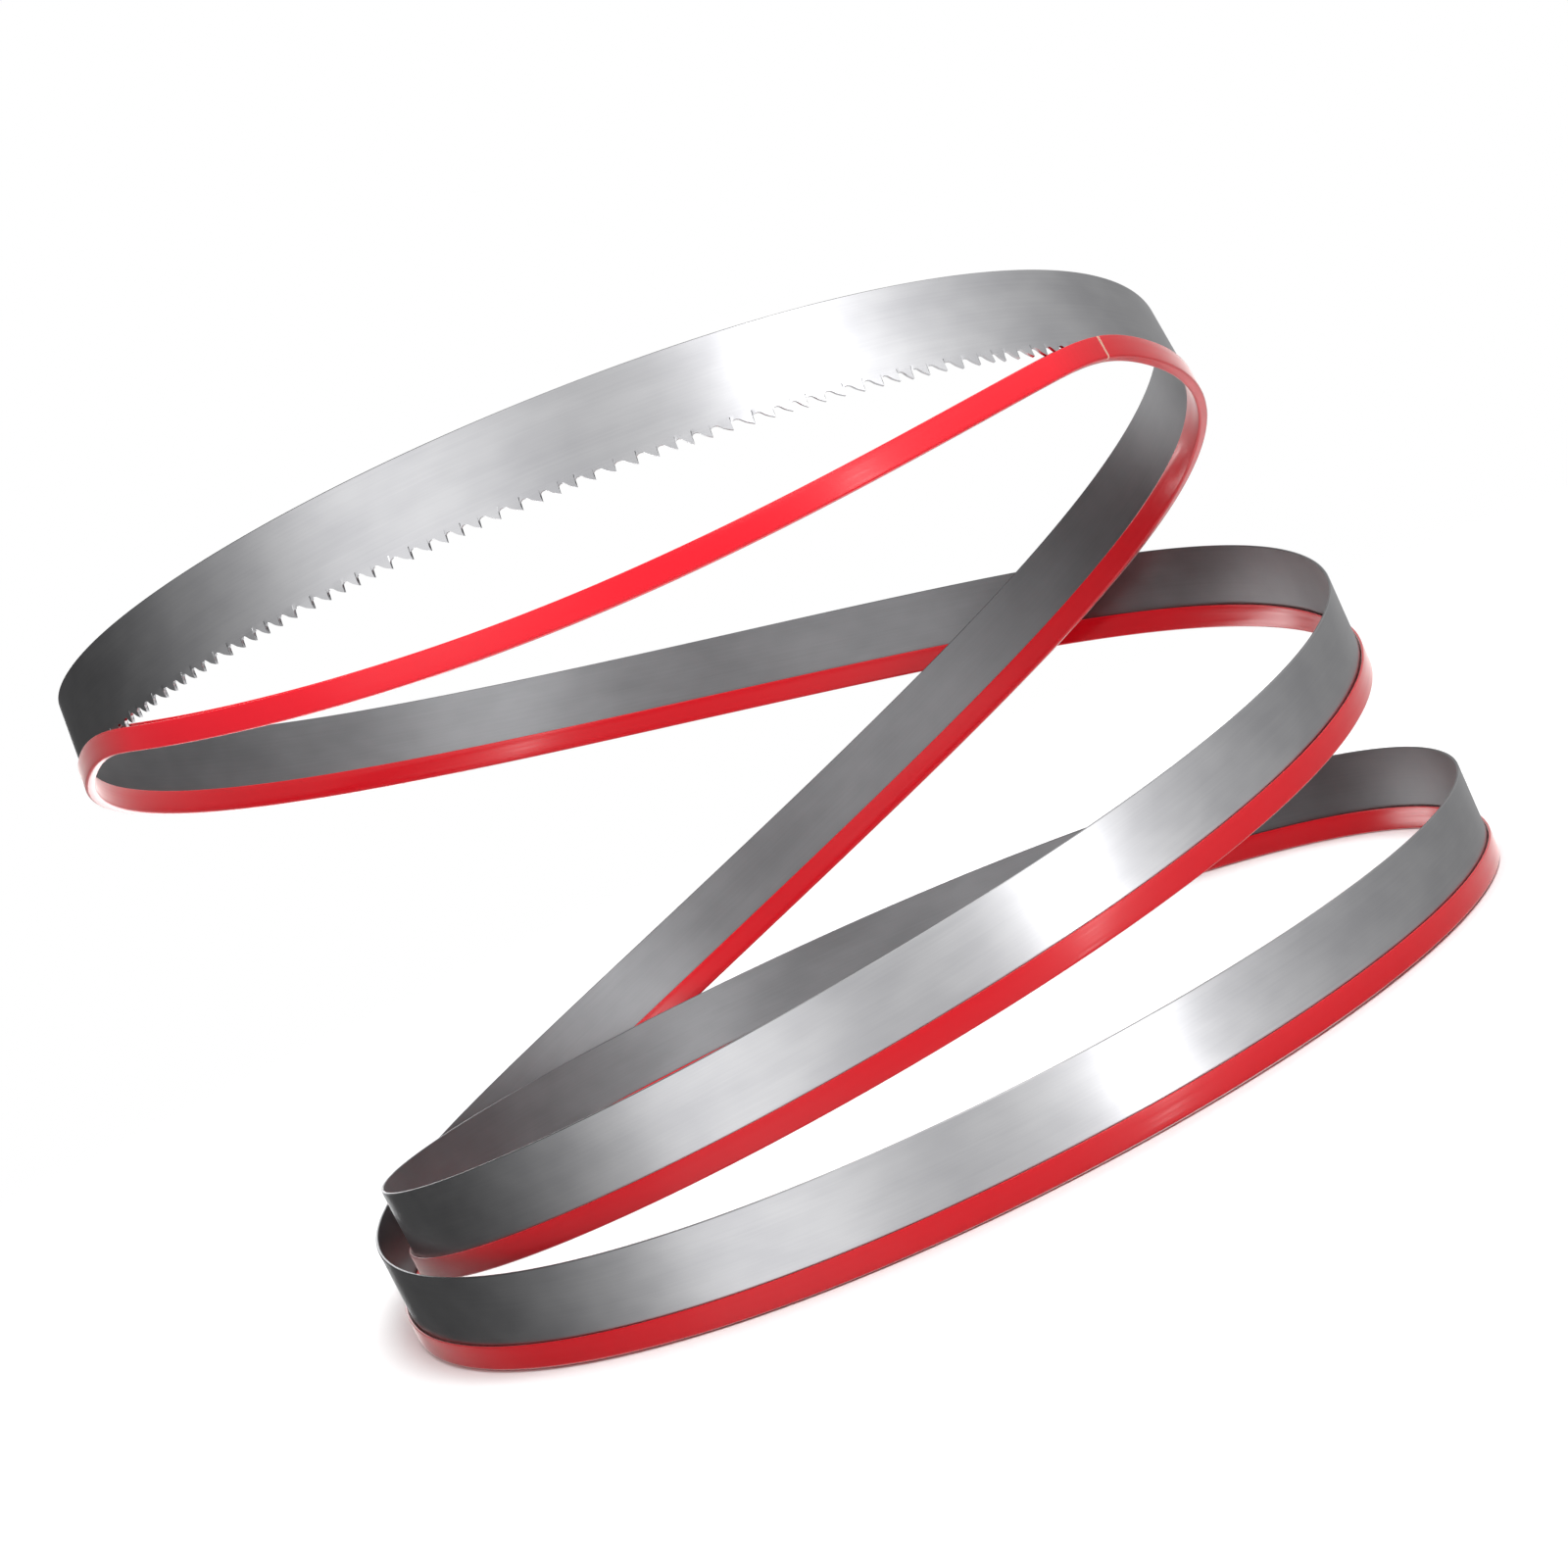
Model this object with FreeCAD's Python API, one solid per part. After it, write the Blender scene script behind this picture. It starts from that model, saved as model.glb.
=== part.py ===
import FreeCAD, Part
import math
import os

# Endless band saw blade, carried as a coil of three turns that stands on its toothed edge,
# and the red plastic tooth guard that is pushed over its teeth.
#
# Frame: millimetres, +Z up, X to the right and Y away from the viewer. The origin lies under
# the middle of the coil, on the surface that the lowest turn rests on.
#
# The steel strip is straight when it is laid flat. A straight strip that is only bent, never
# bent edgewise, keeps its width square to the plane in which it bends at each point. So the
# width always follows the binormal of the centre line, and the path alone sets every face.

Vec = FreeCAD.Vector
Flat = FreeCAD.Base.Vector2d

# ---- band
BAND_WIDTH = 27.0            # back edge to tooth tips
BAND_THICKNESS = 0.9

# ---- coil: the centre line is drawn by six stations to a turn. Each is a radius, and a height
# above the lowest turn, which stands on the floor.
FIRST_STATION_ANGLE = 130.0  # degrees, seen from above, anticlockwise from +X
STATION_STEP = 60.0          # degrees, clockwise from one station to the next
UPPER_TURN = ((251, -6), (251, 69), (217, 146), (208, 204), (217, 223), (246, 197))
MIDDLE_TURN = ((282, 144), (280, 92), (216, 75), (265, 56), (289, 39), (195, 15))
LOWER_TURN = ((236, 0), (244, 1), (245, -1), (265, 2), (302, -1), (205, 3))
COIL_AXIS = (2.0, 2.8)       # the stations' own middle, which lies off the middle of the coil
PATH_DEGREE = 5

# ---- teeth: variable pitch, cut into the lower edge
PITCH_SET = (6.3, 5.8, 5.2, 4.7, 5.2, 5.8)  # one set of spacings, repeated round the band
TOOTH_DEPTH = 2.7
RAKE_ANGLE = 8.0             # degrees that the cutting face leans forward
BACK_SHARE = 0.56            # part of the pitch that the sloping back of a tooth takes

# ---- tooth guard: a moulded channel that straddles the teeth
GUARD_WALL = 0.7
GUARD_SIDE_GAP = 0.45        # room for the set of the teeth, on each side
GUARD_TIP_GAP = 0.2          # tooth tips to the floor of the channel
GUARD_REACH = 6.85           # height of the channel's lips above the tooth tips
GUARD_BUTT_AT = 0.039        # place where its two ends meet, as a share of the way round
GUARD_BUTT_GAP = 1.0

# ---- loose stretch: from the butt joint the guard has come off the teeth and sags below them
LOOSE_TO = 0.144             # share of the way round at which it is on the teeth again
LOOSE_DROP = 32.0
LOOSE_INWARD = 3.0
LOOSE_DROP_POWER = 1.05      # how gently the drop begins and ends
LOOSE_INWARD_POWER = 4

# ---- resolution of the long surfaces
SAMPLES = 180                # sections round the band that the long edges pass through
OVERRUN = 10                 # sections past the closing point, so that both ends agree there
LONG_FACES = 6               # lengths into which the sides of band and guard are divided
SEW_TOLERANCE = 1e-3


def coil_path():
    """Closed centre line of the band, as a smooth curve guided by the stations."""
    stations = UPPER_TURN + MIDDLE_TURN + LOWER_TURN
    standing = BAND_WIDTH / 2 + GUARD_TIP_GAP + GUARD_WALL
    axis = Vec(*COIL_AXIS, standing)
    poles = []
    for index, (radius, height) in enumerate(stations):
        angle = math.radians(FIRST_STATION_ANGLE - STATION_STEP * index)
        poles.append(axis + Vec(radius * math.cos(angle), radius * math.sin(angle), height))
    count = len(poles)
    path = Part.BSplineCurve()
    path.buildFromPolesMultsKnots(
        poles, [1] * (count + 1), [float(k) for k in range(count + 1)], True, PATH_DEGREE
    )
    return path


PATH = coil_path()
LENGTH = PATH.length()


def station_at(distance):
    """Point, direction of travel, width direction and inward direction at a distance."""
    along = distance % LENGTH
    place = PATH.parameterAtDistance(along, 0.0) if along > 1e-9 else 0.0
    velocity = PATH.getDN(place, 1)
    toward_teeth = velocity.cross(PATH.getDN(place, 2))
    toward_teeth.normalize()
    travel = Vec(velocity)
    travel.normalize()
    return PATH.value(place), travel, toward_teeth, toward_teeth.cross(travel)


def long_edge(corners, distances):
    """Smooth curve through one corner of every section."""
    curve = Part.BSplineCurve()
    curve.interpolate(Points=corners, PeriodicFlag=False, Parameters=distances)
    return curve


def ruled_between(first, second):
    """Surface of straight rulings between two long edges that share their parameters."""
    surface = Part.BSplineSurface()
    surface.buildFromPolesMultsKnots(
        [[a, b] for a, b in zip(first.getPoles(), second.getPoles())],
        first.getMultiplicities(), [2, 2], first.getKnots(), [0.0, 1.0],
        False, False, first.Degree, 1,
    )
    return surface


def sewn_solid(faces):
    """One solid from faces that meet edge to edge."""
    skin = Part.Compound(faces)
    skin.sewShape(SEW_TOLERANCE)
    shell = skin if skin.ShapeType == "Shell" else skin.Shells[0]
    solid = Part.makeSolid(shell)
    if solid.Volume < 0:
        solid.reverse()
    return solid


# ---- band


def pitches():
    """Spacing of every tooth, with the set scaled so that whole sets close the band."""
    sets = max(1, round(LENGTH / sum(PITCH_SET)))
    scale = LENGTH / (sets * sum(PITCH_SET))
    return [pitch * scale for pitch in PITCH_SET] * sets


def tooth_line(spacings):
    """Outline of the toothed edge of the flat strip: for each tooth the end of its sloping
    back, the root of the next tooth's cutting face, and that tooth's tip."""
    root = 1.0 - TOOTH_DEPTH / BAND_WIDTH
    lean = TOOTH_DEPTH * math.tan(math.radians(RAKE_ANGLE))
    tip_at = 0.0
    teeth = []
    for spacing in spacings:
        next_tip = tip_at + spacing
        teeth.append(((tip_at + BACK_SHARE * spacing, root), (next_tip + lean, root), (next_tip, 1.0)))
        tip_at = next_tip
    return teeth


def band_sides():
    """The two broad surfaces of the band, a little longer than once round."""
    step = LENGTH / SAMPLES
    distances = [step * k for k in range(-OVERRUN, SAMPLES + OVERRUN + 1)]
    frames = [station_at(distance) for distance in distances]
    sides = []
    for offset in (-BAND_THICKNESS / 2, BAND_THICKNESS / 2):
        edges = []
        for across in (-BAND_WIDTH / 2, BAND_WIDTH / 2):
            corners = [point + inward * offset + width * across for point, _, width, inward in frames]
            edges.append(long_edge(corners, distances))
        sides.append(ruled_between(*edges))
    return sides


def side_face(surface, outline):
    """Face of one length of a side, bounded by the outline, with the edges of its outline."""
    start = min(along for along, _ in outline)
    end = max(along for along, _ in outline)
    patch = surface.copy()
    patch.segment(start, end, 0.0, 1.0)
    corners = zip(outline, outline[1:] + outline[:1])
    edges = [Part.Geom2d.Line2dSegment(Flat(*a), Flat(*b)).toShape(patch) for a, b in corners]
    return Part.Face(Part.Wire(edges)), edges


def blade():
    """The toothed band: two sides, joined by the back edge and by every tooth flank."""
    spacings = pitches()
    teeth = tooth_line(spacings)
    outer, inner = band_sides()
    share = -(-len(teeth) // LONG_FACES)
    faces = []
    for first in range(0, len(teeth), share):
        group = teeth[first:first + share]
        ends_at = teeth[first + share][0][0] if first + share < len(teeth) else LENGTH + teeth[0][0][0]
        toothed = [corner for tooth in group for corner in tooth] + [(ends_at, group[0][0][1])]
        outline = [(toothed[0][0], 0.0), (ends_at, 0.0)] + toothed[::-1]
        outer_face, outer_edges = side_face(outer, outline)
        inner_face, inner_edges = side_face(inner, outline)
        faces += [outer_face, inner_face]
        for index, (a, b) in enumerate(zip(outer_edges, inner_edges)):
            crosses_band = index == 1 or index == len(outer_edges) - 1
            if not crosses_band:
                faces.append(Part.makeRuledSurface(a, b))
    return sewn_solid(faces)


# ---- tooth guard


def guard_centre(distance):
    """Middle of the channel: on the teeth, or hanging below and inside them where it is loose."""
    point, _, width, inward = station_at(distance)
    seated = BAND_WIDTH / 2 - GUARD_REACH / 2
    through = (distance / LENGTH % 1.0 - GUARD_BUTT_AT) / (LOOSE_TO - GUARD_BUTT_AT)
    swell = math.sin(math.pi * through) if 0.0 < through < 1.0 else 0.0
    drop = LOOSE_DROP * swell ** LOOSE_DROP_POWER
    return point + width * (seated + drop) + inward * LOOSE_INWARD * swell ** LOOSE_INWARD_POWER


def guard_section(distance):
    """Corners of the channel's section, square to the way it runs there."""
    nudge = 0.5
    centre = guard_centre(distance)
    travel = guard_centre(distance + nudge) - guard_centre(distance - nudge)
    travel.normalize()
    width = station_at(distance)[2]
    width = width - travel * width.dot(travel)
    width.normalize()
    side = width.cross(travel)
    inner = BAND_THICKNESS / 2 + GUARD_SIDE_GAP
    outer = inner + GUARD_WALL
    lip = -GUARD_REACH / 2
    floor = GUARD_REACH / 2 + GUARD_TIP_GAP
    base = floor + GUARD_WALL
    profile = (
        (-outer, lip), (-outer, base), (outer, base), (outer, lip),
        (inner, lip), (inner, floor), (-inner, floor), (-inner, lip),
    )
    return [centre + side * across + width * down for across, down in profile]


def tooth_guard():
    """The channel, from one side of its butt joint round to the other."""
    start = GUARD_BUTT_AT * LENGTH + GUARD_BUTT_GAP / 2
    run = LENGTH - GUARD_BUTT_GAP
    distances = [start + run * k / SAMPLES for k in range(SAMPLES + 1)]
    sections = [guard_section(distance) for distance in distances]
    edges = [long_edge(list(corners), distances) for corners in zip(*sections)]
    joints = distances[::SAMPLES // LONG_FACES]
    faces = []
    for first, second in zip(edges, edges[1:] + edges[:1]):
        surface = ruled_between(first, second)
        for begins, ends in zip(joints, joints[1:]):
            patch = surface.copy()
            patch.segment(begins, ends, 0.0, 1.0)
            faces.append(patch.toShape())
    for corners in (sections[0], sections[-1]):
        faces.append(Part.Face(Part.makePolygon(corners + corners[:1])))
    return sewn_solid(faces)


def main():
    """Write one STEP file for each separate piece."""
    os.makedirs("parts", exist_ok=True)
    blade().exportStep("parts/blade.step")
    tooth_guard().exportStep("parts/tooth_guard.step")


main()
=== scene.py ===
"""Band saw blade in a coil of three turns, with the red guard over its teeth, in a pale studio.

The shapes are worked out in millimetres from one closed line, and go into the meshes in metres.
Distances along the band are counted from the line's first parameter.
"""

import logging
import math
from dataclasses import dataclass, field
from enum import Enum
from typing import Any

import bpy
import numpy as np
from mathutils import Matrix, Vector

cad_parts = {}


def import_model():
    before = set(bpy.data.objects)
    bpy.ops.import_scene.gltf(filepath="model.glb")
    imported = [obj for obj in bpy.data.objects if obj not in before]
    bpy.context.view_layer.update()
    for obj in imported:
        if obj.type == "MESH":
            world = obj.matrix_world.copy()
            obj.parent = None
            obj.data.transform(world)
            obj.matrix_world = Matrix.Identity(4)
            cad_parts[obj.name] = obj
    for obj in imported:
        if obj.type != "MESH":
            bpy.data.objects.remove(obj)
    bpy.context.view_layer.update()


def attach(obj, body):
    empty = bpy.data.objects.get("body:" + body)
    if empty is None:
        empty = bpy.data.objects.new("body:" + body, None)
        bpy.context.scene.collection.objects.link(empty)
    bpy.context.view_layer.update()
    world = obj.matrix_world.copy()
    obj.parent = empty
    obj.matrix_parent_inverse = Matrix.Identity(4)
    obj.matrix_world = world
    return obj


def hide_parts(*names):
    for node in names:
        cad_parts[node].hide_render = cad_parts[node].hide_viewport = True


LOG = logging.getLogger("band_saw_blade")
MM = 0.001
BAND_WIDTH = 27.0
BAND_THICKNESS = 0.9


# ---------------------------------------------------------------- shared helpers


class Lean(Enum):
    """Side that a tooth is bent to, seen from inside the coil."""

    INWARD = 1.0
    OUTWARD = -1.0
    STRAIGHT = 0.0


def linear_colour(hex_code: str) -> tuple[float, float, float, float]:
    """Linear colour of an sRGB hex code.

    Each channel c is c / 12.92 up to 0.04045, and ((c + 0.055) / 1.055) ^ 2.4 above.

    Args:
        hex_code: Six hex digits after a hash sign.

    Returns:
        Red, green, blue and an alpha of one.
    """
    channels = [int(hex_code[i:i + 2], 16) / 255.0 for i in (1, 3, 5)]
    linear = [c / 12.92 if c <= 0.04045 else ((c + 0.055) / 1.055) ** 2.4 for c in channels]
    return (linear[0], linear[1], linear[2], 1.0)


def add_node(tree: bpy.types.NodeTree, kind: str, settings: dict[str, Any] | None = None,
             inputs: dict[Any, Any] | None = None) -> bpy.types.Node:
    """Adds one node with its settings, its values and the links into it.

    Args:
        tree: Node tree that takes the node.
        kind: Node type.
        settings: Attributes of the node by name.
        inputs: Input sockets by name or number, each with a value or another node's output.

    Returns:
        The new node.
    """
    node = tree.nodes.new(kind)
    for name, value in (settings or {}).items():
        setattr(node, name, value)
    for key, value in (inputs or {}).items():
        if isinstance(value, bpy.types.NodeSocket):
            tree.links.new(value, node.inputs[key])
        else:
            node.inputs[key].default_value = value
    return node


def new_material(name: str) -> tuple[bpy.types.Material, bpy.types.NodeTree]:
    """Material with an empty node tree.

    Args:
        name: Common name of the material.

    Returns:
        The material and its tree.
    """
    material = bpy.data.materials.new(name)
    material.use_nodes = True
    material.node_tree.nodes.clear()
    return material, material.node_tree


def blend(tree: bpy.types.NodeTree, factor: Any, first: Any,
          second: Any) -> bpy.types.NodeSocket:
    """Mix of two colours in a node tree.

    Args:
        tree: Node tree that takes the node.
        factor: Share of the second colour, a value or another node's output.
        first: Colour, or another node's output.
        second: Colour, or another node's output.

    Returns:
        The output with the mixed colour.
    """
    mix = add_node(tree, "ShaderNodeMix", {"data_type": "RGBA"},
                   {"Factor": factor, 6: first, 7: second})
    return mix.outputs[2]


def combine(tree: bpy.types.NodeTree, operation: str, *values: Any) -> bpy.types.NodeSocket:
    """Arithmetic on up to three values in a node tree.

    Args:
        tree: Node tree that takes the node.
        operation: Name of the operation.
        *values: Numbers or other nodes' outputs.

    Returns:
        The output with the result.
    """
    node = add_node(tree, "ShaderNodeMath", {"operation": operation}, dict(enumerate(values)))
    return node.outputs[0]


def grey(level: float) -> tuple[float, float, float, float]:
    """Grey of one linear level.

    Args:
        level: Level of all three channels.

    Returns:
        Red, green, blue and an alpha of one.
    """
    return (level, level, level, 1.0)


def mirror_rays(tree: bpy.types.NodeTree) -> tuple[bpy.types.Node, bpy.types.NodeSocket]:
    """Tells rays that were mirrored or went through glass from the others.

    Args:
        tree: Node tree that takes the nodes.

    Returns:
        The node that names the kinds of ray, and an output that is one for mirrored rays.
    """
    rays = add_node(tree, "ShaderNodeLightPath")
    return rays, combine(tree, "MAXIMUM", rays.outputs["Is Glossy Ray"],
                         rays.outputs["Is Transmission Ray"])


def unit_rows(vectors: np.ndarray) -> np.ndarray:
    """Vectors divided by their own lengths.

    Args:
        vectors: One vector per row.

    Returns:
        Vectors of length one, in the same order.
    """
    return vectors / np.linalg.norm(vectors, axis=-1, keepdims=True)


def mesh_object(name: str, points: np.ndarray, faces: np.ndarray, uv: np.ndarray,
                caps: list[list[int]], sharp_degrees: float) -> bpy.types.Object:
    """Object made of four-sided faces, some end caps and one UV map.

    Args:
        name: Name of the object.
        points: One row per vertex, in metres.
        faces: One row of four vertex numbers per face, turning outwards.
        uv: Array of faces x 4 x 2, in metres along and across the piece.
        caps: Polygons of vertex numbers.
        sharp_degrees: Angle between faces above which an edge is sharp.

    Returns:
        The object, linked to the scene.
    """
    mesh = bpy.data.meshes.new(name)
    mesh.from_pydata(points, [], faces.tolist() + caps)
    layer = mesh.uv_layers.new(name="strip")
    flat = np.zeros((len(mesh.loops), 2), np.float32)
    flat[:faces.size] = uv.reshape(-1, 2)
    layer.data.foreach_set("uv", flat.ravel())
    mesh.shade_smooth()
    mesh.set_sharp_from_angle(angle=math.radians(sharp_degrees))
    mesh.validate()
    piece = bpy.data.objects.new(name, mesh)
    bpy.context.scene.collection.objects.link(piece)
    return piece


# ---------------------------------------------------------------- line of the band


@dataclass(frozen=True)
class CoilPath:
    """Closed centre line of the band, in millimetres.

    The line is a closed uniform B-spline of degree five. Each station is a control point,
    given as a radius and a height above the lowest turn, one every station_step degrees
    clockwise. The first one stands at first_angle, anticlockwise from +X. axis is the middle
    of the stations, at the height of the lowest turn: half the band's width, and below it
    the guard's tip gap and wall.
    """

    stations: tuple[tuple[float, float], ...] = (
        (251, -6), (251, 69), (217, 146), (208, 204), (217, 223), (246, 197),
        (282, 144), (280, 92), (216, 75), (265, 56), (289, 39), (195, 15),
        (236, 0), (244, 1), (245, -1), (265, 2), (302, -1), (205, 3),
    )
    first_angle: float = 130.0
    station_step: float = 60.0
    axis: tuple[float, float, float] = (2.0, 2.8, 14.4)
    degree: int = 5

    def control_points(self) -> np.ndarray:
        """Stations turned from radius, angle and height into points.

        Returns:
            One point per row.
        """
        radius, height = np.array(self.stations, float).T
        angle = np.radians(self.first_angle - self.station_step * np.arange(len(radius)))
        ring = np.stack([radius * np.cos(angle), radius * np.sin(angle), height], axis=1)
        return ring + np.array(self.axis)

    def weights(self, share: np.ndarray, order: int) -> np.ndarray:
        """Weights of the control points whose curves cross a span.

        The curve of degree n, counted from its start, is the sum over k of
        (-1)^k C(n+1, k) (t-k)^n / n! for the k below t. A derivative of order m lowers
        both n in (t-k)^n / n! to n - m.

        Args:
            share: Place of each sample in its span, from 0 to 1.
            order: Order of the derivative.

        Returns:
            One row per sample, one column per control point, the latest one first.
        """
        power = self.degree - order
        t = share[:, None] + np.arange(self.degree + 1)[None, :]
        total = np.zeros_like(t)
        for k in range(self.degree + 1):
            factor = (-1) ** k * math.comb(self.degree + 1, k) / math.factorial(power)
            total += factor * np.clip(t - k, 0.0, None) ** power
        return total

    def evaluate(self, u: np.ndarray, order: int = 0) -> np.ndarray:
        """Points of the line, or its derivatives, at parameters counted in stations.

        Args:
            u: Parameters; the line closes every time they grow by the number of stations.
            order: 0 for points, 1 and 2 for derivatives.

        Returns:
            One row per parameter.
        """
        points = self.control_points()
        span = np.floor(u).astype(int)
        number = (span[:, None] + self.degree - np.arange(self.degree + 1)) % len(points)
        return np.einsum("ij,ijk->ik", self.weights(u - span, order), points[number])


@dataclass
class BandLine:
    """The coil path measured by length, with the way the band faces at each distance.

    The table has so many steps that the length is right to about a thousandth of a
    millimetre.
    """

    path: CoilPath = field(default_factory=CoilPath)
    table_size: int = 18000

    def __post_init__(self) -> None:
        """Measures the line once, so that distances can be turned into parameters."""
        self.u_table = np.linspace(0.0, len(self.path.stations), self.table_size + 1)
        steps = np.diff(self.path.evaluate(self.u_table), axis=0)
        self.distance_table = np.append(0.0, np.cumsum(np.linalg.norm(steps, axis=1)))
        self.length = float(self.distance_table[-1])

    def frames(self, distance: np.ndarray) -> tuple[np.ndarray, ...]:
        """Where the band is and which way it faces at distances along it.

        A flat strip that is only bent keeps its width along the cross product of the line's
        first and second derivatives, which points to the teeth. The inward direction is the
        cross product of width and travel.

        Args:
            distance: Distances in millimetres; they may pass the closing point.

        Returns:
            Points, directions of travel, width directions and inward directions.
        """
        u = np.interp(distance % self.length, self.distance_table, self.u_table)
        velocity = self.path.evaluate(u, 1)
        travel = unit_rows(velocity)
        width = unit_rows(np.cross(velocity, self.path.evaluate(u, 2)))
        return self.path.evaluate(u), travel, width, np.cross(width, travel)


# ---------------------------------------------------------------- finishes


@dataclass(frozen=True)
class RolledSteel:
    """Cold-rolled spring steel strip, ground on its outer side and rougher on its inner.

    The eye gets a grey metal with wide highlights that fade out softly, and a faint mottling,
    drawn out along the strip, where its shade and roughness change a little. The inner side
    of the coil reflects less sharply, and its colour is painted darker as shade.
    """

    colour: str = "#c7c7c9"
    shade: str = "#bababd"
    # painted shade: the inner side's colours are darker copies of the outer ones, for the shade it
    # falls in
    shaded_inner_colour: str = "#8a8b8d"
    shaded_inner_dark: str = "#808183"
    roughness: float = 0.30
    inner_roughness: float = 0.44
    roughness_spread: float = 0.025
    line_spacing_mm: float = 0.7
    line_length_mm: float = 45.0
    line_detail: float = 3.0
    line_share: float = 0.4
    cloud_width_mm: float = 14.0
    cloud_length_mm: float = 28.0
    cloud_detail: float = 2.0
    grain: float = 0.6
    mottle_from: float = 0.45
    mottle_to: float = 0.95
    closing_fade_mm: float = 300.0

    def pattern(self, tree: bpy.types.NodeTree, sources: tuple[bpy.types.NodeSocket, ...],
                fade: bpy.types.NodeSocket, size_mm: tuple[float, float],
                detail: float) -> bpy.types.NodeSocket:
        """Noise on the strip that fades from the first source's pattern into the second's.

        Args:
            tree: Node tree that takes the nodes.
            sources: The strip's coordinates, and the same counted from its closing point.
            fade: Share of the second pattern.
            size_mm: Length and width of the pattern's spots.
            detail: How many finer layers the noise has.

        Returns:
            The output with the pattern, about 0.5 on average.
        """
        scale = (1.0 / (size_mm[0] * MM), 1.0 / (size_mm[1] * MM), 1.0)
        looks = []
        for source in sources:
            scaled = add_node(tree, "ShaderNodeVectorMath", {"operation": "MULTIPLY"},
                              {0: source, 1: scale})
            looks.append(add_node(tree, "ShaderNodeTexNoise", {"noise_dimensions": "2D"},
                                  {"Vector": scaled.outputs[0], "Scale": 1.0,
                                   "Detail": detail, "Roughness": self.grain}))
        mix = add_node(tree, "ShaderNodeMix", {"data_type": "FLOAT"},
                       {"Factor": fade, 2: looks[0].outputs[0], 3: looks[1].outputs[0]})
        return mix.outputs[0]

    def build(self, length_m: float) -> bpy.types.Material:
        """Steel whose mottling runs along the strip.

        The rolling lines of the real strip are about 0.1 mm apart, too fine to show, so they
        are drawn as coarse as line_spacing_mm. The mottling is line_share lines + clouds.
        Near the closing point of the strip the pattern fades into the one that starts there,
        so that no joint shows.

        Args:
            length_m: Length of the strip.

        Returns:
            The material.
        """
        material, tree = new_material("cold_rolled_steel")
        strip = add_node(tree, "ShaderNodeUVMap", {"uv_map": "strip"}).outputs[0]
        along = add_node(tree, "ShaderNodeSeparateXYZ", None, {0: strip})
        fade = add_node(tree, "ShaderNodeMapRange", {"interpolation_type": "SMOOTHSTEP"},
                        {"Value": along.outputs["X"],
                         "From Min": length_m - self.closing_fade_mm * MM,
                         "From Max": length_m}).outputs[0]
        shifted = add_node(tree, "ShaderNodeVectorMath", {"operation": "SUBTRACT"},
                           {0: strip, 1: (length_m, 0.0, 0.0)}).outputs[0]
        lines = self.pattern(tree, (strip, shifted), fade,
                             (self.line_length_mm, self.line_spacing_mm), self.line_detail)
        clouds = self.pattern(tree, (strip, shifted), fade,
                              (self.cloud_length_mm, self.cloud_width_mm), self.cloud_detail)
        mottle = add_node(tree, "ShaderNodeMapRange", None,
                          {"Value": combine(tree, "MULTIPLY_ADD", lines, self.line_share, clouds),
                           "From Min": self.mottle_from, "From Max": self.mottle_to}).outputs[0]
        side = add_node(tree, "ShaderNodeAttribute", {"attribute_name": "inner_side"})
        inner = side.outputs["Fac"]
        # painted shade: faces of the inner side take the darker colours
        outer_tint = blend(tree, mottle, linear_colour(self.shade), linear_colour(self.colour))
        painted_shade_tint = blend(tree, mottle, linear_colour(self.shaded_inner_dark),
                           linear_colour(self.shaded_inner_colour))
        smoothest = combine(tree, "MULTIPLY_ADD", inner, self.inner_roughness - self.roughness,
                            self.roughness - self.roughness_spread / 2)
        rough = combine(tree, "MULTIPLY_ADD", mottle, self.roughness_spread, smoothest)
        surface = add_node(tree, "ShaderNodeBsdfPrincipled", None,
                           {"Base Color": blend(tree, inner, outer_tint, painted_shade_tint),
                            "Metallic": 1.0, "Roughness": rough})
        add_node(tree, "ShaderNodeOutputMaterial", None, {"Surface": surface.outputs[0]})
        return material


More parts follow.
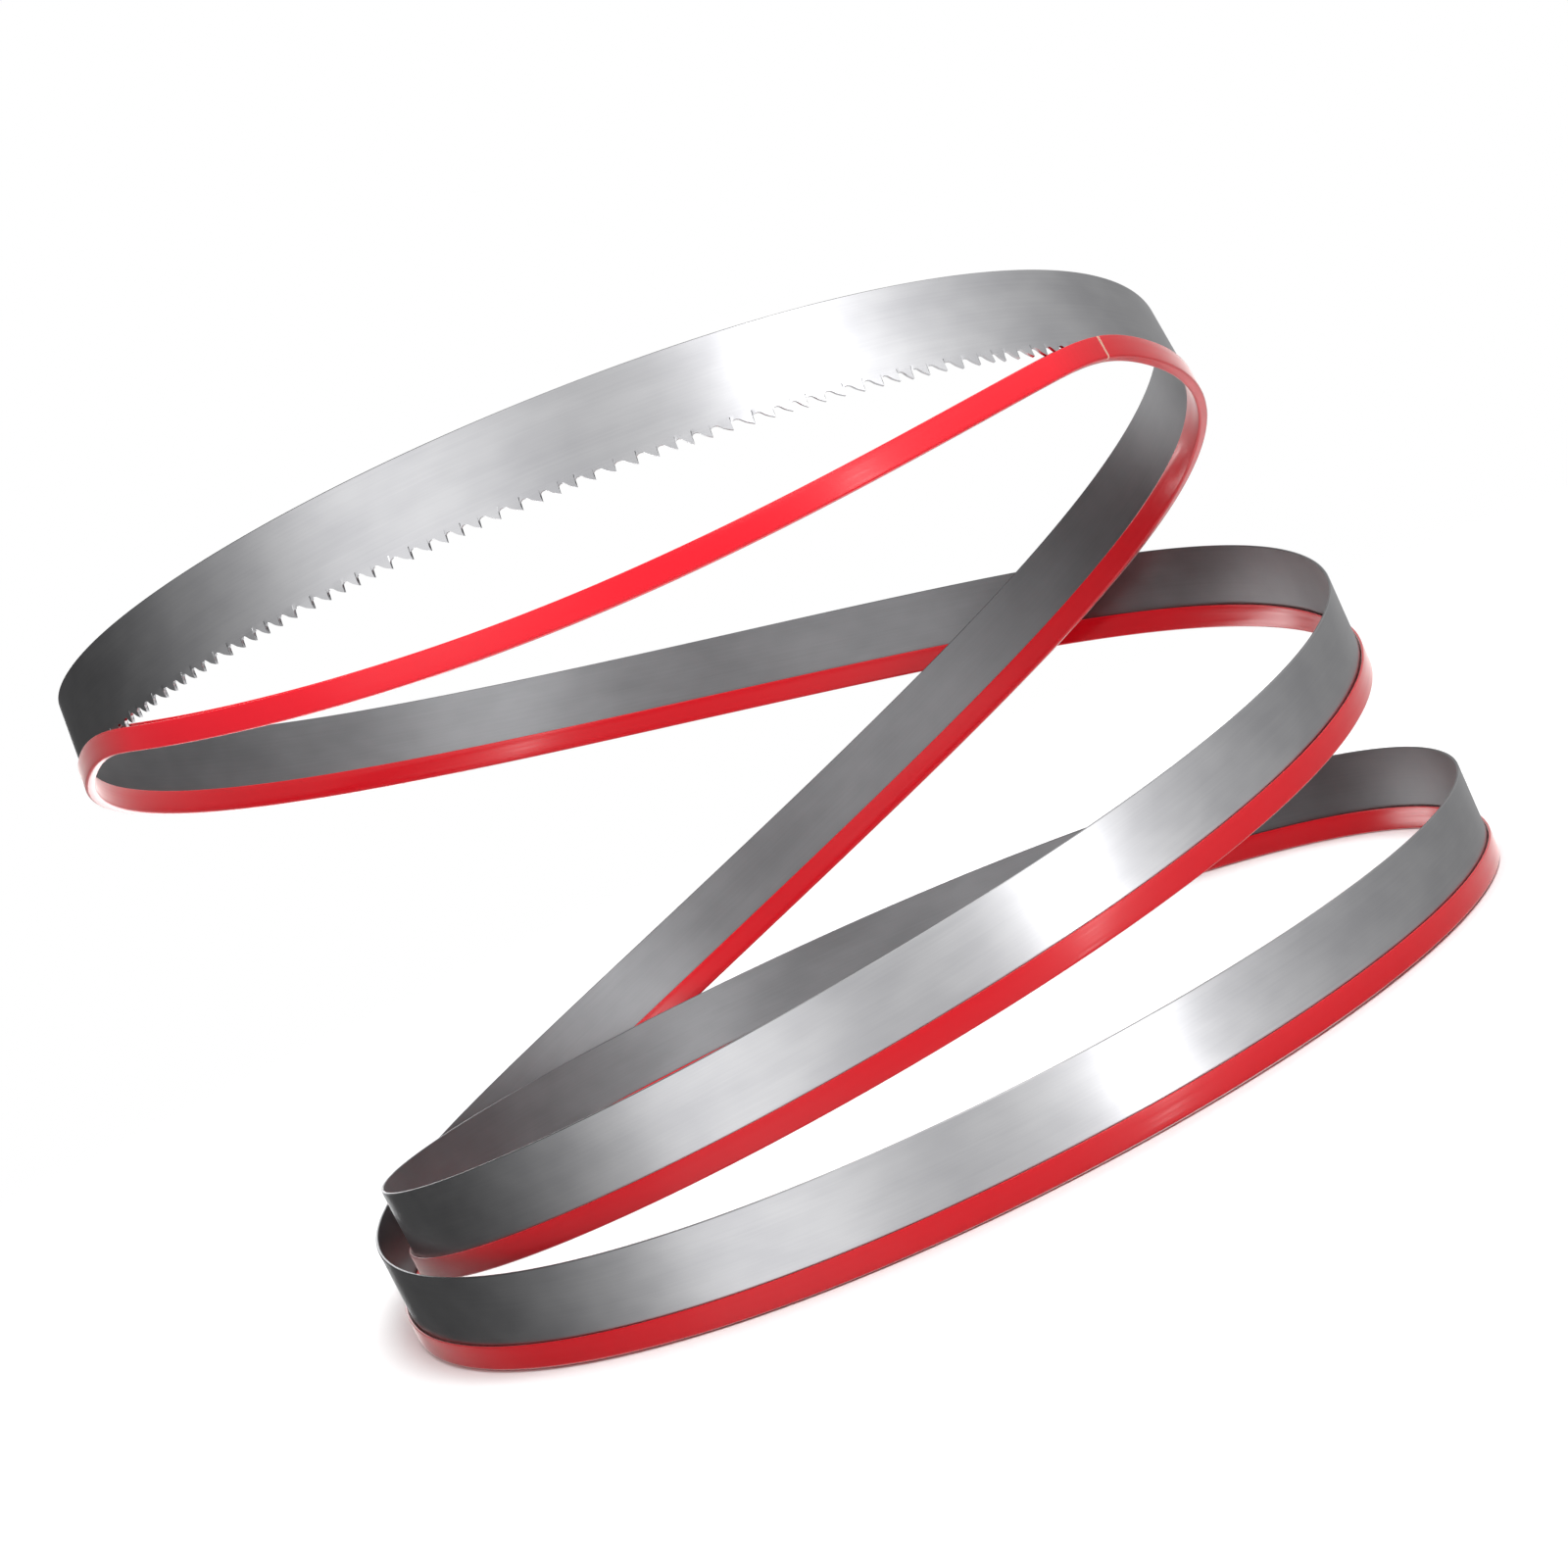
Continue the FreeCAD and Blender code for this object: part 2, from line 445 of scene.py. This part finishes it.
@dataclass(frozen=True)
class ExtrudedVinyl:
    """Soft PVC channel, extruded and glossy.

    The eye gets a full red with sharp pale glints, faint lines along the channel from the
    die, slow changes of shade where the wall is thicker or thinner, and a pale bloom where
    the surface is seen at a slant. Where the channel hangs loose, with no steel behind its
    thin walls, its red is painted brighter for the light that comes through. The ends have
    a whitened rim where they were cut.
    """

    colour: str = "#ce0819"
    shade: str = "#c00616"
    # painted light: brighter red where the channel hangs loose, for light through its walls
    painted_backlight_colour: str = "#f2162a"
    cut_colour: str = "#e8b9a4"
    smoothest: float = 0.16
    roughest: float = 0.26
    ior: float = 1.41
    bloom: float = 1.0
    bloom_roughness: float = 0.25
    bloom_tint: tuple[float, float, float, float] = (1.0, 0.85, 0.83, 1.0)
    line_spacing_mm: float = 0.8
    line_length_mm: float = 90.0
    line_from: float = 0.3
    line_to: float = 0.7
    cloud_mm: float = 70.0
    detail: float = 2.0
    bump_mm: float = 0.02
    bump_strength: float = 0.4

    def build(self) -> bpy.types.Material:
        """Glossy red plastic with die lines along the channel.

        Returns:
            The material.
        """
        material, tree = new_material("extruded_red_vinyl")
        strip = add_node(tree, "ShaderNodeUVMap", {"uv_map": "strip"})
        stretch = (1.0 / (self.line_length_mm * MM), 1.0 / (self.line_spacing_mm * MM), 1.0)
        scaled = add_node(tree, "ShaderNodeVectorMath", {"operation": "MULTIPLY"},
                          {0: strip.outputs[0], 1: stretch})
        lines = add_node(tree, "ShaderNodeTexNoise", {"noise_dimensions": "2D"},
                         {"Vector": scaled.outputs[0], "Scale": 1.0, "Detail": self.detail})
        coords = add_node(tree, "ShaderNodeTexCoord")
        clouds = add_node(tree, "ShaderNodeTexNoise", None,
                          {"Vector": coords.outputs["Object"],
                           "Scale": 1.0 / (self.cloud_mm * MM), "Detail": self.detail})
        tint = blend(tree, clouds.outputs[0], linear_colour(self.shade),
                     linear_colour(self.colour))
        # painted light: the red is made brighter by the loose share, for light through the walls
        for name, colour in (("loose", self.painted_backlight_colour), ("cut_end", self.cut_colour)):
            share = add_node(tree, "ShaderNodeAttribute", {"attribute_name": name})
            tint = blend(tree, share.outputs["Fac"], tint, linear_colour(colour))
        rough = add_node(tree, "ShaderNodeMapRange", None,
                         {"Value": lines.outputs[0], "From Min": self.line_from,
                          "From Max": self.line_to, "To Min": self.smoothest,
                          "To Max": self.roughest})
        bump = add_node(tree, "ShaderNodeBump", None,
                        {"Height": lines.outputs[0], "Strength": self.bump_strength,
                         "Distance": self.bump_mm * MM})
        surface = add_node(tree, "ShaderNodeBsdfPrincipled", None,
                           {"Base Color": tint, "Roughness": rough.outputs[0],
                            "IOR": self.ior, "Sheen Weight": self.bloom,
                            "Sheen Roughness": self.bloom_roughness,
                            "Sheen Tint": self.bloom_tint, "Normal": bump.outputs[0]})
        add_node(tree, "ShaderNodeOutputMaterial", None, {"Surface": surface.outputs[0]})
        return material


# ---------------------------------------------------------------- steel band


@dataclass(frozen=True)
class ToothedBand:
    """Endless steel band with teeth of varying pitch along one edge, sizes in millimetres.

    tooth_outline gives each tooth from its tip along its back and through the rounded gullet
    to the next tip, and root_shares gives where the same columns cross the root line.
    """

    line: BandLine
    width: float = BAND_WIDTH
    thickness: float = BAND_THICKNESS
    pitch_set: tuple[float, ...] = (6.3, 5.8, 5.2, 4.7, 5.2, 5.8)
    tooth_depth: float = 2.7
    rake_degrees: float = 8.0
    rake_from: float = 0.75
    gullet_band: float = 0.9
    flat_margin: float = 0.5
    back_radius: float = 0.22
    sharp_degrees: float = 28.0
    set_out: float = 0.28
    set_power: float = 1.5
    set_changes_at: float = 0.7
    leans: tuple[Lean, ...] = (Lean.INWARD, Lean.OUTWARD, Lean.STRAIGHT)
    tooth_outline: tuple[tuple[float, float], ...] = (
        (0.0, 0.0), (0.20, 0.22), (0.38, 0.46), (0.50, 0.70), (0.60, 0.89),
        (0.72, 0.99), (0.84, 0.97), (0.94, 0.80), (0.99, 0.50),
    )
    root_shares: tuple[float, ...] = (0.0, 0.13, 0.27, 0.40, 0.52, 0.64, 0.76, 0.87, 0.95)
    finish: RolledSteel = RolledSteel()

    def tooth_starts(self) -> tuple[np.ndarray, np.ndarray]:
        """Distance of each tooth tip and the pitch after it.

        Whole sets of teeth are laid along the band and stretched a little to close it.

        Returns:
            Distances and pitches, one value per tooth.
        """
        sets = round(self.line.length / sum(self.pitch_set))
        pitches = np.tile(self.pitch_set, sets) * self.line.length / (sum(self.pitch_set) * sets)
        return np.append(0.0, np.cumsum(pitches)[:-1]), pitches

    def columns(self) -> tuple[np.ndarray, np.ndarray, np.ndarray, np.ndarray]:
        """Distances and depths of the columns of points that carry the teeth.

        A tooth's outline is a set of points, each a share of the pitch and of the depth. The
        rake face leans back under the next tip: a point at depth d moves by up to d tan(rake),
        from rake_from of the pitch on. A tooth's points are pushed sideways, for its set, by
        set_out (1 - share of depth)^set_power, and from set_changes_at on they belong to the
        next tooth.

        Returns:
            Distances at the root line, distances and depths at the edge, and the sideways
            lean of each point, all one value per column.
        """
        starts, pitches = self.tooth_starts()
        share, depth_share = np.array(self.tooth_outline).T
        depth = self.tooth_depth * depth_share
        leaning = np.clip((share - self.rake_from) / (1.0 - self.rake_from), 0.0, 1.0)
        under = depth * math.tan(math.radians(self.rake_degrees)) * leaning
        edge = starts[:, None] + pitches[:, None] * share + under
        root = starts[:, None] + pitches[:, None] * np.array(self.root_shares)
        lean = np.resize([side.value for side in self.leans], len(starts))
        after = np.roll(lean, -1)
        nearest = np.where(share < self.set_changes_at, lean[:, None], after[:, None])
        sideways = self.set_out * nearest * (1.0 - depth_share) ** self.set_power
        return root.ravel(), edge.ravel(), np.tile(depth, len(starts)), sideways.ravel()

    def build(self) -> bpy.types.Object:
        """Band mesh: a ring of ten points across the section, carried along the line.

        In each column the ring goes from the back edge down the outer face to the tooth edge
        and up the inner face. A point is line + width direction v + inward direction n.

        Returns:
            The band, dressed.
        """
        root, edge, depth, sideways = self.columns()
        half, side, radius = self.width / 2, self.thickness / 2, self.back_radius
        ones = np.ones_like(root)
        neck = (half - self.tooth_depth - self.gullet_band) * ones
        tip = half - depth
        ring = [
            (root, -half * ones, -(side - radius) * ones),
            (root, (radius - half) * ones, -side * ones),
            (root, neck - self.flat_margin, -side * ones),
            (root, neck, -side * ones),
            (edge, tip, sideways - side),
            (edge, tip, sideways + side),
            (root, neck, side * ones),
            (root, neck - self.flat_margin, side * ones),
            (root, (radius - half) * ones, side * ones),
            (root, -half * ones, (side - radius) * ones),
        ]
        rows, across = [], []
        for distance, v, n in ring:
            centre, _, width_way, inward = self.line.frames(distance)
            rows.append(centre + width_way * v[:, None] + inward * n[:, None])
            across.append(np.stack([distance, v + n], axis=1))
        points = np.stack(rows) * MM
        places = np.stack(across) * MM
        count_rows, count = points.shape[:2]
        r = np.arange(count_rows)[:, None]
        c = np.arange(count)[None, :]
        r_next, c_next = (r + 1) % count_rows, (c + 1) % count
        corners = ((r, c), (r_next, c), (r_next, c_next), (r, c_next))
        faces = np.stack([np.broadcast_to(i * count + j, (count_rows, count))
                          for i, j in corners], axis=-1).reshape(-1, 4)
        uv = np.stack([np.broadcast_to(places[i, j], (count_rows, count, 2))
                       for i, j in corners], axis=2)
        uv[:, -1, 2:, 0] += self.line.length * MM
        band = mesh_object("toothed_steel_band", points.reshape(-1, 3), faces,
                           uv.reshape(-1, 4, 2), [], self.sharp_degrees)
        # faces of the inner side, which the steel makes rougher and paints darker as shade
        inner = band.data.attributes.new("inner_side", "FLOAT", "FACE")
        is_inner = np.repeat(np.arange(count_rows) >= count_rows // 2, count)
        inner.data.foreach_set("value", is_inner.astype(np.float32))
        band.data.materials.append(self.finish.build(self.line.length * MM))
        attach(band, "root")
        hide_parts("blade")
        return band


# ---------------------------------------------------------------- tooth guard


@dataclass(frozen=True)
class GuardChannel:
    """Red channel over the teeth, with its two ends butted and one stretch hanging loose.

    Sizes are in millimetres, and shares are of the band's length.
    """

    line: BandLine
    band_width: float = BAND_WIDTH
    band_thickness: float = BAND_THICKNESS
    wall: float = 0.7
    side_gap: float = 0.45
    tip_gap: float = 0.2
    reach: float = 6.85
    corner_radius: float = 0.75
    inner_radius: float = 0.25
    outer_lip_trim: float = 0.5
    butt_at: float = 0.039
    butt_gap: float = 0.4
    cut_rim: float = 0.35
    loose_to: float = 0.144
    loose_drop: float = 32.0
    loose_inward: float = 3.0
    drop_power: float = 1.05
    inward_power: float = 4.0
    ease: float = 32.0
    ease_steps: int = 9
    step: float = 2.4
    nudge: float = 0.5
    ripple: float = 0.12
    ripple_waves: tuple[tuple[float, float], ...] = ((23.0, 0.0), (41.0, 1.0), (9.5, 2.0))
    arc_points: int = 5
    wall_points: int = 2
    sharp_degrees: float = 32.0
    finish: ExtrudedVinyl = ExtrudedVinyl()

    def section(self) -> np.ndarray:
        """Closed outline of the channel as rows of side and width, with rounded corners.

        Outer corners and lips are quarter or half circles: centre + r (cos a, sin a).
        The outline is made on the inward side and mirrored to the outward side, whose lip
        ends outer_lip_trim lower.

        Returns:
            One row per point.
        """
        inner = self.band_thickness / 2 + self.side_gap
        outer = inner + self.wall
        floor = self.reach / 2 + self.tip_gap
        base = floor + self.wall
        lip = -self.reach / 2
        quarter = np.linspace(0.0, math.pi / 2, self.arc_points)
        half_turn = np.linspace(0.0, math.pi, self.arc_points + 2)
        r, q, e = self.corner_radius, self.inner_radius, self.wall / 2
        foot = np.stack([outer - r + r * np.cos(quarter), base - r + r * np.sin(quarter)], 1)
        mouth = np.stack([inner + e - e * np.cos(half_turn), lip + e - e * np.sin(half_turn)], 1)
        nook = np.stack([inner - q + q * np.cos(quarter), floor - q + q * np.sin(quarter)], 1)
        walls = []
        for side, begins, ends in ((inner, floor - q, lip + e), (outer, lip + e, base - r)):
            heights = np.linspace(begins, ends, self.wall_points + 2)[1:-1]
            walls.append(np.stack([np.full(self.wall_points, side), heights], 1))
        right = np.concatenate([nook[::-1], walls[0], mouth, walls[1], foot])
        left = right[::-1] * np.array([-1.0, 1.0])
        left[:, 1] += np.where(left[:, 1] < 0.0, self.outer_lip_trim, 0.0)
        return np.concatenate([right, left])

    def drop_and_inset(self, distance: np.ndarray) -> tuple[np.ndarray, np.ndarray]:
        """How far the channel hangs below the teeth and stands inside the band.

        Along the loose stretch, swell is the sine of its share of the way, from 0 to pi.
        The drop is loose_drop swell^drop_power, the inset loose_inward swell^inward_power.
        The drop is the mean of its values up to ease before and after, with weights that
        fall off evenly, because the channel is too stiff to turn a corner.

        Args:
            distance: Distances along the band.

        Returns:
            Drops and insets, one value per distance.
        """
        shifts = np.linspace(-self.ease, self.ease, self.ease_steps + 2)[1:-1]
        weights = 1.0 - np.abs(shifts) / self.ease
        places = distance[:, None] + np.append(0.0, shifts)
        share = (places / self.line.length) % 1.0
        way = np.clip((share - self.butt_at) / (self.loose_to - self.butt_at), 0.0, 1.0)
        swell = np.clip(np.sin(math.pi * way), 0.0, None)
        drop = self.loose_drop * swell[:, 1:] ** self.drop_power @ weights / weights.sum()
        return drop, self.loose_inward * swell[:, 0] ** self.inward_power

    def centre(self, distance: np.ndarray) -> np.ndarray:
        """Middle of the channel's side walls.

        Args:
            distance: Distances along the band.

        Returns:
            One point per distance.
        """
        point, _, width_way, inward = self.line.frames(distance)
        drop, inset = self.drop_and_inset(distance)
        along_width = self.band_width / 2 - self.reach / 2 + drop
        return point + width_way * along_width[:, None] + inward * inset[:, None]

    def build(self) -> bpy.types.Object:
        """Channel mesh: the section carried along the teeth, from one butted end to the other.

        The way of travel is the difference of the centres just before and after, and the
        width direction is made square to it. The side walls splay by the mean of three sines
        of distance / length + phase, as much as ripple at the lips and nothing at the base.

        Returns:
            The channel, dressed.
        """
        start = self.butt_at * self.line.length + self.butt_gap / 2
        end = start + self.line.length - self.butt_gap
        distance = np.linspace(start, end, round((end - start) / self.step) + 1)
        distance = np.concatenate([distance[:1], distance[:1] + self.cut_rim, distance[1:-1],
                                   distance[-1:] - self.cut_rim, distance[-1:]])
        centre = self.centre(distance)
        travel = unit_rows(self.centre(distance + self.nudge) - self.centre(distance - self.nudge))
        width_way = self.line.frames(distance)[2]
        width_way = unit_rows(
            width_way - travel * np.sum(width_way * travel, axis=1, keepdims=True))
        side_way = np.cross(width_way, travel)
        outline = self.section()
        wave = np.mean([np.sin(distance / length + phase)
                        for length, phase in self.ripple_waves], axis=0)
        lip_share = np.clip((self.reach / 2 - outline[:, 1]) / self.reach, 0.0, 1.0)
        side = outline[:, 0] + np.sign(outline[:, 0]) * lip_share * self.ripple * wave[:, None]
        points = (centre[:, None, :] + side_way[:, None, :] * side[:, :, None]
                  + width_way[:, None, :] * outline[None, :, 1, None]) * MM
        rows, count = points.shape[:2]
        around = np.append(0.0, np.cumsum(np.linalg.norm(
            np.diff(outline, axis=0, append=outline[:1]), axis=1)))
        r = np.arange(rows - 1)[:, None]
        c = np.arange(count)[None, :]
        corners = ((r, c), (r + 1, c), (r + 1, c + 1), (r, c + 1))
        faces = np.stack([i * count + j % count for i, j in corners], axis=-1).reshape(-1, 4)
        uv = np.stack([np.stack(np.broadcast_arrays(distance[i], around[j]), axis=-1)
                       for i, j in corners], axis=2) * MM
        last = (rows - 1) * count
        caps = [list(range(count)), list(range(last + count - 1, last - 1, -1))]
        guard = mesh_object("tooth_guard_channel", points.reshape(-1, 3), faces,
                            uv.reshape(-1, 4, 2), caps, self.sharp_degrees)
        cut = np.zeros(rows - 1)
        cut[[0, -1]] = 1.0
        # share of the painted brighter red, growing with how far the channel hangs
        loose = np.clip(self.drop_and_inset(distance[:-1])[0] / self.reach, 0.0, 1.0)
        for name, shares, at_ends in (("cut_end", cut, 1.0), ("loose", loose, 0.0)):
            values = np.append(np.repeat(shares, count), (at_ends, at_ends))
            layer = guard.data.attributes.new(name, "FLOAT", "FACE")
            layer.data.foreach_set("value", values.astype(np.float32))
        guard.data.materials.append(self.finish.build())
        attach(guard, "root")
        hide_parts("tooth_guard")
        return guard


# ---------------------------------------------------------------- studio


@dataclass(frozen=True)
class PaleFloor:
    """Seamless white paper under the coil, in metres.

    It is whole as far as clear_from from the middle and gone from clear_to on.
    """

    half_size: float = 4.0
    clear_from: float = 0.35
    clear_to: float = 0.9
    colour: str = "#eeeeee"

    def build(self) -> bpy.types.Object:
        """Flat sheet that keeps the coil's shadow and thins out into the white around it.

        Metal and gloss don't see it, because the room they reflect has the paper in it.

        Returns:
            The sheet's object.
        """
        h = self.half_size
        mesh = bpy.data.meshes.new("paper_floor")
        mesh.from_pydata([(-h, -h, 0), (h, -h, 0), (h, h, 0), (-h, h, 0)], [], [(0, 1, 2, 3)])
        floor = bpy.data.objects.new("paper_floor", mesh)
        bpy.context.scene.collection.objects.link(floor)
        material, tree = new_material("white_paper")
        coords = add_node(tree, "ShaderNodeTexCoord")
        reach = add_node(tree, "ShaderNodeVectorMath", {"operation": "LENGTH"},
                         {0: coords.outputs["Object"]})
        thin = add_node(tree, "ShaderNodeMapRange", {"interpolation_type": "SMOOTHSTEP"},
                        {"Value": reach.outputs["Value"], "From Min": self.clear_from,
                         "From Max": self.clear_to})
        paper = add_node(tree, "ShaderNodeBsdfDiffuse", None,
                         {"Color": linear_colour(self.colour)})
        _, mirrored = mirror_rays(tree)
        clear = add_node(tree, "ShaderNodeBsdfTransparent")
        both = add_node(tree, "ShaderNodeMixShader", None,
                        {0: combine(tree, "MAXIMUM", mirrored, thin.outputs[0]),
                         1: paper.outputs[0], 2: clear.outputs[0]})
        add_node(tree, "ShaderNodeOutputMaterial", None, {"Surface": both.outputs[0]})
        mesh.materials.append(material)
        return floor


class Lights(Enum):
    """What a lamp is there for."""

    COLOUR = "matt surfaces"
    GLINT = "reflections"


@dataclass(frozen=True)
class Softbox:
    """Soft lamp that looks at the coil's middle, in metres and degrees.

    Its power is its brightness times pi times its area, so lamps of one brightness look
    alike whatever their size.
    """

    name: str
    azimuth: float
    elevation: float
    distance: float
    width: float
    height: float
    brightness: float
    lights: Lights

    def build(self, target: Vector) -> bpy.types.Object:
        """Area lamp at an azimuth counted from the viewer's side, to the right.

        Args:
            target: Point that it looks at.

        Returns:
            The lamp's object.
        """
        azimuth, elevation = math.radians(self.azimuth), math.radians(self.elevation)
        away = Vector((math.sin(azimuth) * math.cos(elevation),
                       -math.cos(azimuth) * math.cos(elevation), math.sin(elevation)))
        lamp = bpy.data.lights.new(self.name, "AREA")
        lamp.shape, lamp.size, lamp.size_y = "RECTANGLE", self.width, self.height
        lamp.energy = self.brightness * math.pi * self.width * self.height
        thing = bpy.data.objects.new(self.name, lamp)
        turn = away.to_track_quat("Z", "Y").to_matrix().to_4x4()
        thing.matrix_world = Matrix.Translation(target + away * self.distance) @ turn
        thing.visible_camera = False
        thing.visible_glossy = self.lights is Lights.GLINT
        thing.visible_diffuse = self.lights is Lights.COLOUR
        bpy.context.scene.collection.objects.link(thing)
        return thing


@dataclass(frozen=True)
class Studio:
    """Plain soft lamps, and a room that the metal and the gloss reflect.

    Each stop of the room is an azimuth in degrees and a linear level.
    """

    floor: PaleFloor = PaleFloor()
    aim: tuple[float, float, float] = (0.0, 0.0, 0.1)
    softboxes: tuple[Softbox, ...] = (
        Softbox("key_softbox", 30.0, 52.0, 2.2, 1.2, 1.2, 8.0, Lights.COLOUR),
        Softbox("fill_softbox", -45.0, 35.0, 2.4, 1.4, 1.4, 1.8, Lights.COLOUR),
        Softbox("back_softbox", 170.0, 66.0, 2.2, 1.8, 1.8, 4.5, Lights.COLOUR),
        Softbox("back_panel", -158.0, 0.0, 0.62, 0.19, 0.5, 3.0, Lights.GLINT),
        Softbox("glint_strip", 44.0, 3.0, 3.0, 0.28, 2.4, 5.5, Lights.GLINT),
    )
    ambient: float = 0.32
    room_strength: float = 3.2
    room: tuple[tuple[float, float], ...] = (
        (-180.0, 0.24), (-172.0, 0.21), (-160.0, 0.022), (-130.0, 0.021), (-112.0, 0.038),
        (-93.0, 0.093), (-72.0, 0.18), (-55.0, 0.41), (-38.0, 0.45), (-20.0, 0.39),
        (-6.0, 0.28), (5.0, 0.245), (17.0, 0.255), (27.0, 0.31), (35.0, 0.46), (42.0, 0.74),
        (47.0, 0.86), (52.0, 0.72), (59.0, 0.46), (70.0, 0.32), (87.0, 0.225), (106.0, 0.165),
        (125.0, 0.124), (145.0, 0.107), (160.0, 0.145), (180.0, 0.24),
    )
    right_tilt: float = 1.4
    paper_level: float = 0.31
    paper_from: float = -0.25
    paper_to: float = -0.7

    def build_room(self) -> None:
        """World: white to the camera, even to matt surfaces, and a studio to glossy ones.

        The studio's brightness is a curve of the azimuth, atan2(x, -y), which is 0 on the
        viewer's side and grows to the right. For a direction x, y, z of length one it grows
        with the height on the right, by the factor 1 + right_tilt z max(x, 0)^2. Below
        paper_from it turns into the level of the paper, which it reaches at paper_to.
        """
        world = bpy.data.worlds.new("studio_room")
        bpy.context.scene.world = world
        world.use_nodes = True
        tree = world.node_tree
        tree.nodes.clear()
        coords = add_node(tree, "ShaderNodeTexCoord")
        way = add_node(tree, "ShaderNodeSeparateXYZ", None, {0: coords.outputs["Generated"]})
        toward_viewer = combine(tree, "MULTIPLY", way.outputs["Y"], -1.0)
        azimuth = combine(tree, "ARCTAN2", way.outputs["X"], toward_viewer)
        turn_share = combine(tree, "MULTIPLY_ADD", azimuth, 0.5 / math.pi, 0.5)
        curve = add_node(tree, "ShaderNodeValToRGB", None, {"Fac": turn_share})
        curve.color_ramp.interpolation = "EASE"
        stops = curve.color_ramp.elements
        while len(stops) > 1:
            stops.remove(stops[-1])
        for number, (degrees, level) in enumerate(self.room):
            place = degrees / 360.0 + 0.5
            stop = stops[0] if number == 0 else stops.new(place)
            stop.position = place
            stop.color = grey(level)
        right = combine(tree, "MAXIMUM", way.outputs["X"], 0.0)
        lift = combine(tree, "MULTIPLY", combine(tree, "MULTIPLY", right, right),
                       way.outputs["Z"])
        strength = combine(tree, "MULTIPLY_ADD", lift, self.right_tilt * self.room_strength,
                           self.room_strength)
        below = add_node(tree, "ShaderNodeMapRange", {"interpolation_type": "SMOOTHSTEP"},
                         {"Value": way.outputs["Z"], "From Min": self.paper_from,
                          "From Max": self.paper_to})
        sight = blend(tree, below.outputs[0], curve.outputs["Color"], grey(self.paper_level))
        studio, even, white = (
            add_node(tree, "ShaderNodeBackground", None, {"Color": colour, "Strength": level})
            for colour, level in ((sight, strength), (grey(1.0), self.ambient),
                                  (grey(1.0), 1.0)))
        rays, mirrored = mirror_rays(tree)
        seen = add_node(tree, "ShaderNodeMixShader", None,
                        {0: mirrored, 1: even.outputs[0], 2: studio.outputs[0]})
        shown = add_node(tree, "ShaderNodeMixShader", None,
                         {0: rays.outputs["Is Camera Ray"], 1: seen.outputs[0],
                          2: white.outputs[0]})
        add_node(tree, "ShaderNodeOutputWorld", None, {"Surface": shown.outputs[0]})

    def build(self) -> None:
        """Floor, room and lamps."""
        self.floor.build()
        self.build_room()
        for softbox in self.softboxes:
            softbox.build(Vector(self.aim))
        bpy.context.scene.view_settings.view_transform = "Standard"


@dataclass(frozen=True)
class ViewerCamera:
    """Camera at the photograph's viewing angle, in metres and degrees."""

    place: tuple[float, float, float] = (0.00192, -1.2045, 0.22238)
    azimuth: float = -0.07
    elevation: float = 5.686
    roll: float = -24.493
    lens_mm: float = 90.62
    sensor_mm: float = 36.0
    nearest: float = 0.05
    farthest: float = 50.0

    def build(self) -> bpy.types.Object:
        """Camera whose axes come from azimuth, elevation and roll.

        The axis that points back is (sin a cos e, -cos a cos e, sin e). Right is level before
        the roll, and the roll turns right and up about the back axis.

        Returns:
            The camera's object.
        """
        a, e, roll = (math.radians(v) for v in (self.azimuth, self.elevation, self.roll))
        back = Vector((math.sin(a) * math.cos(e), -math.cos(a) * math.cos(e), math.sin(e)))
        level = Vector((0.0, 0.0, 1.0)).cross(back).normalized()
        up = back.cross(level)
        right = level * math.cos(roll) + up * math.sin(roll)
        axes = Matrix((right, back.cross(right), back)).transposed()
        lens = bpy.data.cameras.new("viewer_camera")
        lens.lens, lens.sensor_width = self.lens_mm, self.sensor_mm
        lens.clip_start, lens.clip_end = self.nearest, self.farthest
        camera = bpy.data.objects.new("viewer_camera", lens)
        camera.matrix_world = Matrix.Translation(Vector(self.place)) @ axes.to_4x4()
        bpy.context.scene.collection.objects.link(camera)
        bpy.context.scene.camera = camera
        return camera


def main() -> None:
    """Builds the coil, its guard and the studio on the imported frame."""
    logging.basicConfig(level=logging.INFO)
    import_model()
    line = BandLine()
    LOG.info("band line: %.3f mm", line.length)
    band = ToothedBand(line).build()
    LOG.info("band: %d faces", len(band.data.polygons))
    guard = GuardChannel(line).build()
    LOG.info("guard: %d faces", len(guard.data.polygons))
    Studio().build()
    ViewerCamera().build()


if __name__ == "__main__":
    main()
